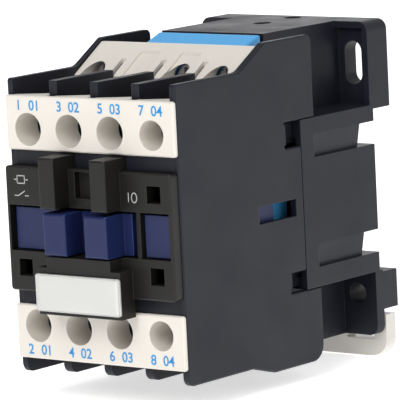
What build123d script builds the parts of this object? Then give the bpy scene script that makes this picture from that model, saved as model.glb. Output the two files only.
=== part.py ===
from build123d import *
import os

# Compact four-pole power contactor for a 35 mm rail. Millimetres.
# Origin: centre of the rail seat, where the rail's two flanges bear. +X is to the right seen
# from the front, +Y goes back towards the rail and the panel, +Z is up.
# Distances called "fwd" are measured forwards from the rail seat, so y = -fwd.

# ---------------------------------------------------------------- driving sizes
# Outside
WIDTH = 45.0  # across the two side walls
SIDE_WALL = 1.5  # side wall thickness
FACE_H = 26.4  # height of the front panel
FACE_RIM = 3.1  # chamber wall above and below the panel
BAY_H = 15.0  # terminal bay, from chamber wall to the end of the side walls
COIL_RISE = 5.2  # how far the coil end stands above the side walls
BASE_RISE = 0.4  # base top above the coil end
FOOT_BACK = 6.1  # feet behind the rail seat
POLES = 4
FIN_T = 2.0  # fins between the poles

# Rail channel
RAIL_W = 35.0
RAIL_PLAY = 0.4  # at each rail edge
BAND_T = 0.9  # full-width body above the rail edge
BAND_DROP = 1.3  # and this much less below the lower one
HOOK_GRIP = 2.1  # hook and clip reach behind the rail flange
HOOK_GAP = 1.4  # room for the flange's thickness
HOOK_T = 1.6
HOOK_INSET = 3.0  # hook's ends inside the ears
HOOK_SET = 1.2  # snap hook arms inside the side walls
HOOK_ARM = 1.6
HOOK_ROOT = 8.0
SNAP_GRIP = 0.5  # nose of a snap hook into the wall
SNAP_NOSE = 1.2
HOLLOW_WALL = 2.0  # round the base's hollows
CLIP_SPRING_X = 6.2  # each clip spring to the middle
CLIP_SHELF = 1.6  # shelf under each clip spring
EAR_W = 8.8  # each mounting ear
MOUNT_EDGE = 5.0  # panel screw to the side of the object
PANEL_HOLE_D = 4.4
SLOT_LEN = 9.4
LOW_HOLE_DROP = 5.0  # lower screw hole below the rail edge

# Magnet
FLOOR_T = 6.5  # base floor
CUSHION_T = 1.0
CORE_DEPTH = 19.5  # E core, back to pole faces
CORE_STACK = 13.0  # lamination stack, along X
LEG_OUT = 6.0  # outer leg
LEG_MID = 12.0  # centre leg
COIL_WINDOW = 8.0  # between centre and outer leg
YOKE_T = 5.5
TRAVEL = 5.5  # armature and carrier stroke
POLE_GAP = 0.2  # left between the pole faces when closed
SEAM_BACK = 0.7  # seam between the two halves behind the pole faces
ARM_DEPTH = 12.5
ARM_IN = 3.9  # inner face of a carrier arm to the side of the object
RING_T = 1.0
BOBBIN_WALL = 0.9
BOBBIN_CLEAR = 0.3
FLANGE_T = 1.0
ARM_REACH = 1.8  # carrier arms stop this far in front of the open armature's poles
GUIDE_H = 6.0  # guides on the coil former beside the carrier arms
GUIDE_T = 1.4
GUIDE_GAP = 1.0  # from a guide to the carrier arm
SPRING_WIRE = 0.8
SPRING_SEAT = 0.05  # from each spring's wire to its seats

# Contacts
PLATE_T = 3.8  # carrier plate behind the deck
DECK_T = 2.0
STRIP_T = 1.0
TIP_T = 1.2
TIP_D = 3.0
TIP_Z = 8.0  # contact tips above and below the middle
CONTACT_OPEN = 3.6  # open contact gap
BRIDGE_T = 1.2
CONTACT_SPRING = 6.0  # fitted length
CAP_T = 4.2  # carrier in front of the contact spring
BAR_H = 8.8  # blue bar in the window
BAR_PROUD = 1.3  # bar's face in front of the panel's back
POST_H = 8.6
POST_CLEAR = 1.0
POST_WALL = 1.0

# Screws
SCREW_D = 3.5
HEAD_D = 6.4
HEAD_T = 2.4
CLAMP_T = 1.4
WIRE_GAP = 3.3  # clamp open above its strip
COIL_GAP = 1.0  # washer open above the coil terminal
COIL_HEAD_T = 1.8
WASHER_T = 1.0
ACCESS_D = 7.0  # driver holes in the covers
AUX_ACCESS_D = 6.3  # the fourth pole's, which is an auxiliary contact
TERM_RISE = 4.5  # screw above the chamber wall
THREAD_CLEAR = 0.05

# Front
PANEL_T = 2.5
LATCH_DEPTH = 1.7  # blind pocket between the ribs
LATCH_H = 5.6
LATCH_X = 3.2  # half its width
COVER_T = 0.9
COVER_SEAT = 0.05  # cover to the wall ends behind it
COVER_H = 11.6
TUBE_DEPTH = 6.4  # driver tubes behind the cover
TUBE_WALL = 0.6
WEDGE_DEPTH = 5.0  # wire wedges behind the cover, deepest side
WEDGE_THIN = 0.8
RIB_OUT = 4.9  # ribs stand in front of the panel
RIB_IN_X = 4.8
RIB_W = 4.1
MARKER_W = 22.2
MARKER_H = 7.8
MARKER_T = 0.9
HOLDER_OUT = 4.1

FIT = 0.3  # between pieces that move past each other
SEAT_FIT = 0.1  # between fixed pieces that only touch
EDGE = 0.5  # rounding of moulded outer edges

# ---------------------------------------------------------------- derived places
half_w = WIDTH / 2
in_w = half_w - SIDE_WALL
pitch = (2 * in_w + FIN_T) / POLES
bay_w = pitch - FIN_T
pole_x = [(i - (POLES - 1) / 2) * pitch for i in range(POLES)]
fin_x = [(i - (POLES - 2) / 2) * pitch for i in range(POLES - 1)]

face_z = FACE_H / 2
rim_z = face_z + FACE_RIM
side_z = rim_z + BAY_H
coil_z = side_z + COIL_RISE
base_z = coil_z + BASE_RISE
base_low = side_z + FIT
term_z = rim_z + TERM_RISE
rail_z = RAIL_W / 2 + RAIL_PLAY
band_z = rail_z + BAND_T
low_band_z = band_z - BAND_DROP
block_x = half_w - EAR_W
mount_x = half_w - MOUNT_EDGE
slot_z = (rail_z + base_z) / 2 + 0.4
hole_z = rail_z + LOW_HOLE_DROP - RAIL_PLAY

cushion_fwd = FLOOR_T
core_fwd = cushion_fwd + CUSHION_T
pole_fwd = core_fwd + CORE_DEPTH
seam_fwd = pole_fwd - SEAM_BACK
arm_fwd = pole_fwd + TRAVEL + POLE_GAP
plate_fwd = arm_fwd + ARM_DEPTH
deck_fwd = plate_fwd + PLATE_T + FIT
strip_fwd = deck_fwd + DECK_T
fixed_tip_fwd = strip_fwd + STRIP_T + TIP_T
bridge_tip_fwd = fixed_tip_fwd + CONTACT_OPEN
ledge_fwd = bridge_tip_fwd + STRIP_T
bridge_front_fwd = ledge_fwd + BRIDGE_T
cap_fwd = bridge_front_fwd + CONTACT_SPRING
bar_fwd = cap_fwd + CAP_T
panel_back_fwd = bar_fwd - BAR_PROUD
panel_fwd = panel_back_fwd + PANEL_T
wall_fwd = panel_back_fwd - SEAT_FIT
clamp_fwd = strip_fwd + STRIP_T + WIRE_GAP
head_fwd = clamp_fwd + CLAMP_T


# ---------------------------------------------------------------- helpers
def block(x0, x1, fwd0, fwd1, z0, z1, mode=Mode.ADD):
    """Box between two faces on each axis, the second axis given forwards of the seat."""
    with Locations(((x0 + x1) / 2, -(fwd0 + fwd1) / 2, (z0 + z1) / 2)):
        Box(x1 - x0, fwd1 - fwd0, z1 - z0, mode=mode)


def rod(x, z, diameter, fwd0, fwd1, mode=Mode.ADD):
    """Round bar or hole along Y."""
    with BuildSketch(Plane.XZ.offset(fwd0)) as section:
        with Locations((x, z)):
            Circle(diameter / 2)
    extrude(section.sketch, amount=fwd1 - fwd0, mode=mode)


def side_face(points, x0, x1, radii=(), mode=Mode.ADD):
    """Outline of (fwd, z) points extruded across X, with a radius for each corner in turn."""
    with BuildSketch(Plane.YZ.offset(x0)) as face:
        with BuildLine():
            Polyline(*[(-fwd, z) for fwd, z in points], close=True)
        make_face()
        for (fwd, z), radius in zip(points, radii):
            corner = Vector(-fwd, z)
            fillet(face.vertices().sort_by(lambda v: (Vector(v) - corner).length)[0], radius=radius)
    extrude(face.sketch, amount=x1 - x0, mode=mode)


def coil_spring(centre, direction, radius, wire, length, turns):
    """Round-wire compression spring between two flat seats, as a label-ready part."""
    with BuildPart() as spring:
        with BuildLine():
            path = Helix(
                pitch=(length - wire) / turns,
                height=length - wire,
                radius=radius,
                center=centre,
                direction=direction,
            )
        with BuildSketch(Plane(origin=path @ 0, z_dir=path % 0)):
            Circle(wire / 2)
        sweep(is_frenet=True)
    return spring.part


def save(part, name):
    """Label a finished piece and write it under its node name."""
    part.label = name
    export_step(part, "parts/" + name + ".step")


os.makedirs("parts", exist_ok=True)

# ---------------------------------------------------------------- base
# Rear housing half: a full-width body around the coil, a narrower block above and below it,
# four mounting ears and the rail channel.
notch_in = 5.2  # rail-side notches in the back edge
notch_hi = (10.3, 15.3)
notch_lo = (-13.3, -8.3)
groove_depth = 0.9
groove_fwd = seam_fwd - 4.4
ear_plate_back = 4.4
ear_rim_fwd = 1.1
ear_rim = 1.4
ear_web = 0.4  # front of the ear's plate behind the rail seat
low_plate_fwd = 1.6
low_block_z = hole_z + 3.6  # lower end of the screw blocks
well_z = 15.0
ear_round = 2.2
ring_room = 0.5  # core slot beyond the core
core_half = LEG_MID / 2 + COIL_WINDOW + LEG_OUT
core_slot_x = CORE_STACK / 2 + 1.1
clip_half = block_x - 1.7  # clip's tongue, between the lower screw blocks
clip_back = HOOK_GAP + 0.1
clip_t = 3.3
clip_rail_t = 1.5  # the groove and the clip's edge in it
shelf_half = 2.0
low_plate_back = 1.0
top_mark_d = 3.9
top_mark_depth = 1.5
top_marks = ((0, -8.5), (0, 2.6))
snap_end = seam_fwd + 5.2
snap_z = ((notch_hi[1] - 1.4, band_z - 0.6), (-band_z + 1.9, notch_lo[0] - SEAT_FIT))

with BuildPart() as base:
    block(-half_w, half_w, 0, seam_fwd, -low_band_z, band_z)
    block(-block_x, block_x, 0, seam_fwd, -base_low, base_z)
    block(-block_x, block_x, -FOOT_BACK, 0, rail_z, base_z)
    # Upper ears: a plate with a rim round its outside, open at the back.
    for side in (-1, 1):
        outer, inner = side * half_w, side * (block_x - 0.1)
        x0, x1 = min(outer, inner), max(outer, inner)
        block(x0, x1, -FOOT_BACK, ear_rim_fwd, rail_z, base_z)
        p0, p1 = sorted((side * (half_w - ear_rim), side * block_x))
        block(p0, p1, -ear_web, ear_rim_fwd, band_z, base_z - ear_rim, mode=Mode.SUBTRACT)
        block(p0, p1, -FOOT_BACK, -ear_plate_back, band_z, base_z - ear_rim, mode=Mode.SUBTRACT)
        # Lower ears: a thin plate with a thicker screw block behind it.
        block(x0, x1, -low_plate_back, low_plate_fwd, -base_low, -low_band_z + SEAT_FIT)
        b0, b1 = sorted((side * half_w, side * (clip_half + FIT)))
        block(b0, b1, -FOOT_BACK, -low_plate_back + SEAT_FIT, -low_block_z, -rail_z)
    block(-block_x, block_x, -low_plate_back - 2 * SEAT_FIT, 0, -base_low, -rail_z)
    corners = base.edges().filter_by(Axis.Y)
    top_outer = corners.filter_by(lambda e: e.center().Z > base_z - 0.1)
    fillet(top_outer.filter_by(lambda e: abs(e.center().X) > half_w - 0.1), radius=ear_round)
    low_outer = corners.filter_by(lambda e: e.center().Z < -base_low + 0.1)
    fillet(low_outer.filter_by(lambda e: abs(e.center().X) > half_w - 0.1), radius=ear_round)
    # Screw slots above, screw holes below.
    with BuildSketch(Plane.XZ.offset(-FOOT_BACK)):
        with Locations((-mount_x, slot_z), (mount_x, slot_z)):
            SlotOverall(SLOT_LEN, PANEL_HOLE_D, rotation=90)
        with Locations((-mount_x, -hole_z), (mount_x, -hole_z)):
            Circle(PANEL_HOLE_D / 2)
    extrude(amount=FOOT_BACK + low_plate_fwd + 1, mode=Mode.SUBTRACT)
    # Rail notches across the back, and the shallow grooves that run on from them.
    for low, high in (notch_hi, notch_lo):
        block(-half_w, half_w, 0, notch_in, low, high, mode=Mode.SUBTRACT)
        for side in (-1, 1):
            with BuildSketch(Plane.XZ.offset(notch_in - 0.1)):
                with BuildLine():
                    Polyline(
                        (side * half_w, high),
                        (side * (half_w + 1), high),
                        (side * (half_w + 1), low),
                        (side * (half_w - groove_depth), low),
                        close=True,
                    )
                make_face()
            extrude(amount=groove_fwd - notch_in, mode=Mode.SUBTRACT)
    # Hook behind the rail's upper flange.
    hook_x = block_x - HOOK_INSET
    hook_low = rail_z - HOOK_GRIP - RAIL_PLAY
    block(-hook_x, hook_x, -HOOK_GAP - HOOK_T, -HOOK_GAP, hook_low, rail_z)
    # Coil well, core slot and the hollows above and below it, all open to the front.
    block(-in_w, in_w, FLOOR_T, seam_fwd, -well_z, well_z, mode=Mode.SUBTRACT)
    slot_half = core_half + ring_room
    block(-core_slot_x, core_slot_x, FLOOR_T, seam_fwd, -slot_half, slot_half, mode=Mode.SUBTRACT)
    hollow_x = block_x - HOLLOW_WALL
    hollow_z = slot_half + HOLLOW_WALL * 0.75
    h_top, h_low = base_z - HOLLOW_WALL, base_low - HOLLOW_WALL
    block(-hollow_x, hollow_x, HOLLOW_WALL, seam_fwd, hollow_z, h_top, mode=Mode.SUBTRACT)
    block(-hollow_x, hollow_x, HOLLOW_WALL, seam_fwd, -h_low, -hollow_z, mode=Mode.SUBTRACT)
    # Two round marks moulded in the top.
    with BuildSketch(Plane.XY.offset(base_z)):
        with Locations(*top_marks):
            Circle(top_mark_d / 2)
    extrude(amount=-top_mark_depth, mode=Mode.SUBTRACT)
    # Grooves that guide the rail clip, and the shelves that its springs stand on.
    clip_groove = (-clip_back - 2.3, -clip_back - 0.8)
    for side in (-1, 1):
        g0, g1 = sorted((side * clip_half, side * (clip_half + clip_rail_t)))
        block(g0, g1, clip_groove[0], clip_groove[1], -low_block_z, -rail_z, mode=Mode.SUBTRACT)
        s0, s1 = side * CLIP_SPRING_X - shelf_half, side * CLIP_SPRING_X + shelf_half
        block(s0, s1, -clip_back - clip_t + FIT, -low_plate_back, -base_low, -base_low + CLIP_SHELF)
    # Snap hooks that hold the front half.
    for side in (-1, 1):
        for z0, z1 in snap_z:
            h0, h1 = sorted((side * (in_w - HOOK_SET - HOOK_ARM), side * (in_w - HOOK_SET)))
            block(h0, h1, seam_fwd - HOOK_ROOT, snap_end, z0, z1)
            n0, n1 = sorted((side * (in_w - HOOK_SET - FIT), side * (in_w + SNAP_GRIP)))
            block(n0, n1, snap_end - SNAP_NOSE, snap_end, z0, z1)
save(base.part, "base")

# ---------------------------------------------------------------- contact housing
# Front housing half: shaped side walls, the deck that carries the fixed contacts, the arc
# chamber and the fins between the terminal bays.
tail_fwd = seam_fwd - 5.0  # side walls run back past the seam above and below
slope_low_fwd = deck_fwd - 2.8
slope_top_fwd = slope_low_fwd - 8.9
slope_front = slope_low_fwd + 1.4  # lower edge of the coil terminal cover
snap_fwd = snap_end + 0.4
step_z = 13.3
bottom_drop = 2.0
fin_round = 2.0
fin_fwd = wall_fwd - 1.3
fin_end = 0.3  # fins inside the side walls' ends
strip_slot = 1.3  # strip slots to the bay's sides
deck_top = side_z - 3.5
top_wall_z = side_z - 5.0
wall_t = 2.0
chamber_fwd = seam_fwd + 2 * SEAT_FIT
low_wall_z = side_z - 0.4
coil_cover_back = slope_top_fwd - 0.3
window_z = (-1.3, 2.4)
window_fwd = (arm_fwd - 3.7, plate_fwd - 3.2)  # beside the carrier's arms

wall_outline = [
    (wall_fwd, -side_z),
    (wall_fwd, side_z),
    (slope_low_fwd, side_z),
    (slope_top_fwd, coil_z),
    (tail_fwd, coil_z),
    (tail_fwd, band_z + SEAT_FIT),
    (snap_fwd, band_z + SEAT_FIT),
    (snap_fwd, step_z),
    (seam_fwd, step_z),
    (seam_fwd, -step_z),
    (snap_fwd, -step_z),
    (snap_fwd, -low_band_z - SEAT_FIT),
    (tail_fwd, -low_band_z - SEAT_FIT),
    (tail_fwd, -side_z - bottom_drop),
    (slope_top_fwd + 1, -side_z - bottom_drop),
    (slope_low_fwd - 0.5, -side_z),
]
wall_radii = [2, 0.6, 4, 2, 1.4, 0.3, 0.3, 0.3, 0.3, 0.3, 0.3, 0.3, 0.3, 3.5, 4, 4]

with BuildPart() as housing:
    for x0 in (-half_w, in_w):
        side_face(wall_outline, x0, x0 + SIDE_WALL, radii=wall_radii)
    outside = housing.faces().filter_by(Axis.X)
    outer = outside.filter_by(lambda f: abs(f.center().X) > half_w - 0.1)
    chamfer(outer.edges(), length=EDGE * 0.6)
    # Deck, with openings for the carrier's posts.
    block(-in_w, in_w, deck_fwd, strip_fwd, -side_z + 0.6, deck_top)
    for x in pole_x:
        open_x = bay_w / 2 - POST_CLEAR + FIT
        open_z = POST_H / 2 + FIT
        block(x - open_x, x + open_x, deck_fwd, strip_fwd, -open_z, open_z, mode=Mode.SUBTRACT)
    # Arc chamber walls, fins and barriers between the poles.
    for z0, z1 in ((face_z, rim_z), (-rim_z, -face_z)):
        block(-in_w, in_w, strip_fwd, panel_back_fwd, z0, z1)
    for x in fin_x:
        f0, f1 = x - FIN_T / 2, x + FIN_T / 2
        block(f0, f1, strip_fwd, fin_fwd, rim_z, side_z - fin_end)
        block(f0, f1, strip_fwd, fin_fwd, -side_z + fin_end, -rim_z)
        block(f0, f1, strip_fwd, fin_fwd - fin_end, -face_z, face_z)
        notch_fwd = cap_fwd - TRAVEL - FIT
        notch_z = BAR_H / 2 + FIT
        block(f0, f1, notch_fwd, fin_fwd, -notch_z, notch_z, mode=Mode.SUBTRACT)
    # Upper fins run on over the deck to the coil terminal cover.
    for x in fin_x:
        f0, f1 = x - FIN_T / 2, x + FIN_T / 2
        block(f0, f1, slope_front + SEAT_FIT, strip_fwd, top_wall_z - 1, side_z - fin_end)
    # Slots for the contact strips through the chamber walls, screw holes through the deck.
    for x in pole_x:
        s0, s1 = x - bay_w / 2 + strip_slot, x + bay_w / 2 - strip_slot
        top = strip_fwd + STRIP_T + SEAT_FIT
        block(s0, s1, strip_fwd, top, -rim_z, rim_z, mode=Mode.SUBTRACT)
        for z in (term_z, -term_z):
            rod(x, z, SCREW_D + 1, deck_fwd - 1, strip_fwd + 0.1, mode=Mode.SUBTRACT)
    # Chamber over the magnet: top wall open for the coil end, bottom wall closed.
    block(-in_w, in_w, chamber_fwd, deck_fwd, top_wall_z - wall_t, top_wall_z)
    gap_x = block_x + 2 * SEAT_FIT
    block(-gap_x, gap_x, 0, coil_cover_back, 0, coil_z + 1, mode=Mode.SUBTRACT)
    block(-in_w, in_w, chamber_fwd, deck_fwd, -low_wall_z, -low_wall_z + wall_t)
    # Clearance for the base's snap hooks, and the inspection windows in the sides.
    block(-half_w - 1, half_w + 1, window_fwd[0], window_fwd[1], *window_z, mode=Mode.SUBTRACT)
    # Front lower corners of the fins are rounded.
    ends = housing.edges().filter_by(Axis.X).filter_by(lambda e: abs(e.length - FIN_T) < 0.01)
    low_ends = ends.filter_by(lambda e: e.center().Z < -side_z + 1 and e.center().Y < -fin_fwd + 0.1)
    fillet(low_ends, radius=fin_round)
save(housing.part, "contact_housing")

# ---------------------------------------------------------------- front panel
panel_x = half_w - 0.4
window_x = half_w - 1.2
post_w = 1.0  # thin post across the window
panel_round = 0.8
rib_rise = 2.8  # ribs above the panel
window_top = BAR_H / 2 + 0.6
window_low = BAR_H / 2 + 0.3
rib_fwd = panel_fwd + RIB_OUT
holder_fwd = panel_fwd + HOLDER_OUT
marker_z = -12.3 - (face_z - 13.2)
holder_top = -window_low - 0.1
holder_low = marker_z - MARKER_H / 2 - 0.8
catch = 3.6
catch_x = half_w - 4.9
catch_hi = face_z - 4.4
post_x = 13.0

with BuildPart() as panel:
    block(-panel_x, panel_x, panel_back_fwd, panel_fwd, -face_z, face_z)
    fillet(panel.edges().filter_by(Axis.Y), radius=panel_round)
    chamfer(panel.faces().sort_by(Axis.Y)[0].edges(), length=0.3)
    block(-window_x, window_x, panel_back_fwd, panel_fwd, -window_low, window_top, mode=Mode.SUBTRACT)
    p0, p1 = post_x - post_w / 2, post_x + post_w / 2
    block(p0, p1, panel_back_fwd, panel_fwd - FIT, -window_low - 0.2, window_top + 0.2)
    for side in (-1, 1):
        r0, r1 = sorted((side * RIB_IN_X, side * (RIB_IN_X + RIB_W)))
        block(r0, r1, panel_back_fwd + SEAT_FIT, rib_fwd, window_top + FIT, face_z + rib_rise)
    rib_edges = panel.edges().filter_by(lambda e: e.center().Y < -rib_fwd + 0.01)
    fillet(rib_edges, radius=0.4)
    # Holder for the marker, wider in its lower part.
    block(-8.5, 8.5, panel_fwd - 0.5, holder_fwd, -window_low - 5, holder_top)
    holder_x = MARKER_W / 2 - SEAT_FIT
    block(-holder_x, holder_x, panel_fwd - 0.5, holder_fwd, holder_low, -window_low - 2.4)
    # Square catch openings, and the latch pocket between the ribs.
    for x, z in ((catch_x, catch_hi), (catch_x, -face_z + 5), (-catch_x, -face_z + 5)):
        h = catch / 2
        block(x - h, x + h, panel_back_fwd, panel_fwd, z - h, z + h, mode=Mode.SUBTRACT)
    latch_top = face_z - EDGE
    latch_fwd = panel_fwd - LATCH_DEPTH
    block(-LATCH_X, LATCH_X, latch_fwd, panel_fwd, latch_top - LATCH_H, latch_top, mode=Mode.SUBTRACT)
save(panel.part, "front_panel")

# ---------------------------------------------------------------- marker plate
with BuildPart() as marker:
    m0, m1 = marker_z - MARKER_H / 2, marker_z + MARKER_H / 2
    block(-MARKER_W / 2, MARKER_W / 2, holder_fwd, holder_fwd + MARKER_T, m0, m1)
    fillet(marker.edges().filter_by(Axis.Y), radius=0.4)
    chamfer(marker.faces().sort_by(Axis.Y)[0].edges(), length=0.2)
save(marker.part, "marker_plate")

# ---------------------------------------------------------------- terminal covers
cover_back = wall_fwd + COVER_SEAT
cover_fwd = cover_back + COVER_T
block_half = bay_w / 2 - 0.2

for name, sign in (("upper_terminal_cover", 1), ("lower_terminal_cover", -1)):
    z_near, z_far = sign * (rim_z + SEAT_FIT), sign * (rim_z + COVER_H)
    z0, z1 = min(z_near, z_far), max(z_near, z_far)
    with BuildPart() as cover:
        block(-half_w + COVER_SEAT, half_w - COVER_SEAT, cover_back, cover_fwd, z0, z1)
        fillet(cover.edges().filter_by(Axis.Y), radius=0.6)
        chamfer(cover.faces().sort_by(Axis.Y)[0].edges(), length=0.3)
        # Behind each hole a driver tube, and beyond it a wedge that guides the wire to one side.
        tube_z = sign * (term_z + ACCESS_D / 2 + TUBE_WALL)
        t0, t1 = min(z_near, tube_z), max(z_near, tube_z)
        for x in pole_x:
            block(x - block_half, x + block_half, cover_back - TUBE_DEPTH, cover_back, t0, t1)
            with BuildSketch(Plane.XY.offset(min(tube_z, z_far))):
                with BuildLine():
                    Polyline(
                        (x - block_half, -cover_back),
                        (x + block_half, -cover_back),
                        (x + block_half, -cover_back + WEDGE_DEPTH),
                        (x - block_half, -cover_back + WEDGE_THIN),
                        close=True,
                    )
                make_face()
            extrude(amount=abs(z_far - tube_z))
            hole_d = AUX_ACCESS_D if x == pole_x[-1] else ACCESS_D
            rod(x, sign * term_z, hole_d, cover_back - TUBE_DEPTH - 1, cover_fwd + 1, mode=Mode.SUBTRACT)
    save(cover.part, name)

# ---------------------------------------------------------------- fixed core and its parts
leg_in = LEG_MID / 2 + COIL_WINDOW
yoke_fwd = core_fwd + YOKE_T
ring_z0 = leg_in + 1.2
ring_z1 = core_half
ring_back = pole_fwd - RING_T - 0.2
ring_x = CORE_STACK / 2 + 0.8

with BuildPart() as core:
    e_outline = [
        (core_fwd, -core_half),
        (core_fwd, core_half),
        (pole_fwd, core_half),
        (pole_fwd, leg_in),
        (yoke_fwd, leg_in),
        (yoke_fwd, LEG_MID / 2),
        (pole_fwd, LEG_MID / 2),
        (pole_fwd, -LEG_MID / 2),
        (yoke_fwd, -LEG_MID / 2),
        (yoke_fwd, -leg_in),
        (pole_fwd, -leg_in),
        (pole_fwd, -core_half),
    ]
    side_face(e_outline, -CORE_STACK / 2, CORE_STACK / 2)
    # Grooves for the shading rings in the outer pole faces.
    for sign in (-1, 1):
        for low in (ring_z0, ring_z1 - RING_T):
            a, b = sorted((sign * low, sign * (low + RING_T)))
            block(-CORE_STACK / 2, CORE_STACK / 2, ring_back, pole_fwd, a, b, mode=Mode.SUBTRACT)
save(core.part, "fixed_core")

with BuildPart() as rings:
    for sign in (-1, 1):
        a, b = sorted((sign * ring_z0, sign * ring_z1))
        block(-ring_x, ring_x, ring_back, ring_back + RING_T, a, b)
        c, d = a + RING_T, b - RING_T
        block(-CORE_STACK / 2, CORE_STACK / 2, ring_back, ring_back + RING_T, c, d, mode=Mode.SUBTRACT)
save(rings.part, "shading_rings")

with BuildPart() as cushion:
    half = CORE_STACK / 2
    block(-half, half, cushion_fwd, core_fwd, -core_half, core_half)
    fillet(cushion.edges().filter_by(Axis.Y), radius=1.5)
save(cushion.part, "core_cushion")

# ---------------------------------------------------------------- bobbin and winding
tube_in_x = CORE_STACK / 2 + BOBBIN_CLEAR
tube_in_z = LEG_MID / 2 + BOBBIN_CLEAR
flange_x = CORE_STACK / 2 + COIL_WINDOW - 0.5
flange_z = leg_in - BOBBIN_CLEAR
bobbin_back = yoke_fwd + 0.2
bobbin_front = pole_fwd - 0.2
limb_x = 10.5
arm_in = half_w - ARM_IN
arm_back = arm_fwd + ARM_REACH
guide_x = arm_in - GUIDE_GAP
limb_fwd = seam_fwd + 2.0
end_x = block_x - 2 * SEAT_FIT
end_back = seam_fwd + 0.9
end_front = coil_cover_back - 1.0
end_low = top_wall_z + 1.5

with BuildPart() as bobbin:
    for back in (bobbin_back, bobbin_front - FLANGE_T):
        block(-flange_x, flange_x, back, back + FLANGE_T, -flange_z, flange_z)
    wall_x, wall_z = tube_in_x + BOBBIN_WALL, tube_in_z + BOBBIN_WALL
    block(-wall_x, wall_x, bobbin_back, bobbin_front, -wall_z, wall_z)
    block(-tube_in_x, tube_in_x, bobbin_back, bobbin_front, -tube_in_z, tube_in_z, mode=Mode.SUBTRACT)
    # Two limbs carry the blue coil end up past the core.
    for side in (-1, 1):
        l0, l1 = sorted((side * limb_x, side * min(flange_x, end_x)))
        block(l0, l1, seam_fwd + 0.2, limb_fwd, -flange_z, end_low + 1)
        # Beside the carrier's arms a guide stands up from the flange.
        f0, f1 = sorted((side * (flange_x - 1), side * guide_x))
        block(f0, f1, bobbin_front - FLANGE_T, bobbin_front, -GUIDE_H / 2, GUIDE_H / 2)
        u0, u1 = sorted((side * (guide_x - GUIDE_T), side * guide_x))
        block(u0, u1, bobbin_front - FLANGE_T, arm_back, -GUIDE_H / 2, GUIDE_H / 2)
    side_face(
        [
            (end_back, end_low),
            (end_back, base_z),
            (end_front, coil_z - 2.9),
            (end_front, end_low),
        ],
        -end_x,
        end_x,
    )
    fillet(bobbin.faces().sort_by(Axis.Z)[-1].edges(), radius=0.5)
save(bobbin.part, "coil_bobbin")

with BuildPart() as winding:
    w_x, w_z = flange_x - 0.6, flange_z - 0.5
    block(-w_x, w_x, bobbin_back + FLANGE_T, bobbin_front - FLANGE_T, -w_z, w_z)
    fillet(winding.edges().filter_by(Axis.Y), radius=3)
    block(-wall_x, wall_x, bobbin_back, bobbin_front, -wall_z, wall_z, mode=Mode.SUBTRACT)
save(winding.part, "coil_winding")

# ---------------------------------------------------------------- coil terminals
notch_d = 6.0
coil_head_d = notch_d - 0.4
coil_screw_z = top_wall_z + coil_head_d / 2 + SEAT_FIT
coil_plate_fwd = coil_cover_back + 0.6
coil_screw_x = (pole_x[0], pole_x[2], pole_x[3])
coil_under = coil_plate_fwd + STRIP_T + COIL_GAP + WASHER_T  # under the head
tab_half = bay_w / 2 - 1.7

with BuildPart() as coil_terminals:
    for x in coil_screw_x:
        t0, t1 = x - tab_half, x + tab_half
        block(t0, t1, coil_plate_fwd, coil_plate_fwd + STRIP_T, top_wall_z, coil_screw_z + 2.2)
        block(t0, t1, coil_cover_back - 0.4, coil_plate_fwd, top_wall_z, top_wall_z + 0.8)
        hole_d = SCREW_D + 2 * THREAD_CLEAR
        rod(x, coil_screw_z, hole_d, coil_plate_fwd - 1, coil_plate_fwd + 2, mode=Mode.SUBTRACT)
save(coil_terminals.part, "coil_terminals")

# ---------------------------------------------------------------- coil terminal cover
cover_x = in_w - 0.2
skin = 1.4
slope_low_z = side_z - 1.6
slope_high_z = coil_z - 0.8
slot_start = slope_top_fwd + 5.2
collar_half = bay_w / 2 - 0.4
channel_half = bay_w / 2 - 1.9
channel_depth = 0.6


def slope_z(fwd):
    """Height of the sloped top at a distance forward of the rail seat."""
    run = slope_front - slope_top_fwd - 0.7
    return slope_high_z - (fwd - slope_top_fwd - 0.7) * (slope_high_z - slope_low_z) / run


with BuildPart() as coil_cover:
    side_face(
        [
            (coil_cover_back, slope_high_z),
            (slope_top_fwd + 0.7, slope_high_z),
            (slope_front, slope_low_z),
            (slope_front, slope_low_z - skin),
            (slope_top_fwd + 1.3, slope_high_z - skin),
            (coil_cover_back, slope_high_z - skin),
        ],
        -cover_x,
        cover_x,
    )
    # Legs at the two ends stand on the housing.
    for side in (-1, 1):
        l0, l1 = sorted((side * cover_x, side * (cover_x - 1.2)))
        side_face(
            [
                (coil_cover_back, top_wall_z),
                (coil_cover_back, slope_high_z - 0.5),
                (slope_top_fwd + 0.7, slope_high_z - 0.5),
                (slope_front - 0.5, slope_low_z - 0.3),
                (slope_front - 0.5, top_wall_z),
            ],
            l0,
            l1,
        )
    # A collar under the slope round each coil screw's driver notch.
    collar_back = coil_under + COIL_HEAD_T + FIT
    for x in coil_screw_x:
        side_face(
            [
                (collar_back, top_wall_z + SEAT_FIT),
                (collar_back, slope_z(collar_back) - 0.2),
                (slope_front, slope_z(slope_front) - 0.2),
                (slope_front, top_wall_z + SEAT_FIT),
            ],
            x - collar_half,
            x + collar_half,
        )
    # Slots over the fins, and a driver notch over each coil screw.
    for x in fin_x:
        block(x - 0.7, x + 0.7, slot_start, slope_front + 1, side_z - 6, coil_z, mode=Mode.SUBTRACT)
    for x in coil_screw_x:
        rod(x, coil_screw_z, notch_d, coil_plate_fwd, slope_front + 1, mode=Mode.SUBTRACT)
    # Shallow channels run down the slope over the two middle poles.
    for x in pole_x[1:3]:
        channel = [
            (slope_top_fwd + 2.6, slope_z(slope_top_fwd + 2.6) + 1),
            (slope_top_fwd + 3.0, slope_z(slope_top_fwd + 3.0) - channel_depth),
            (slope_front + 1, slope_z(slope_front + 1) - channel_depth),
            (slope_front + 1, slope_z(slope_front + 1) + 1),
        ]
        side_face(channel, x - channel_half, x + channel_half, mode=Mode.SUBTRACT)
save(coil_cover.part, "coil_terminal_cover")

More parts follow.
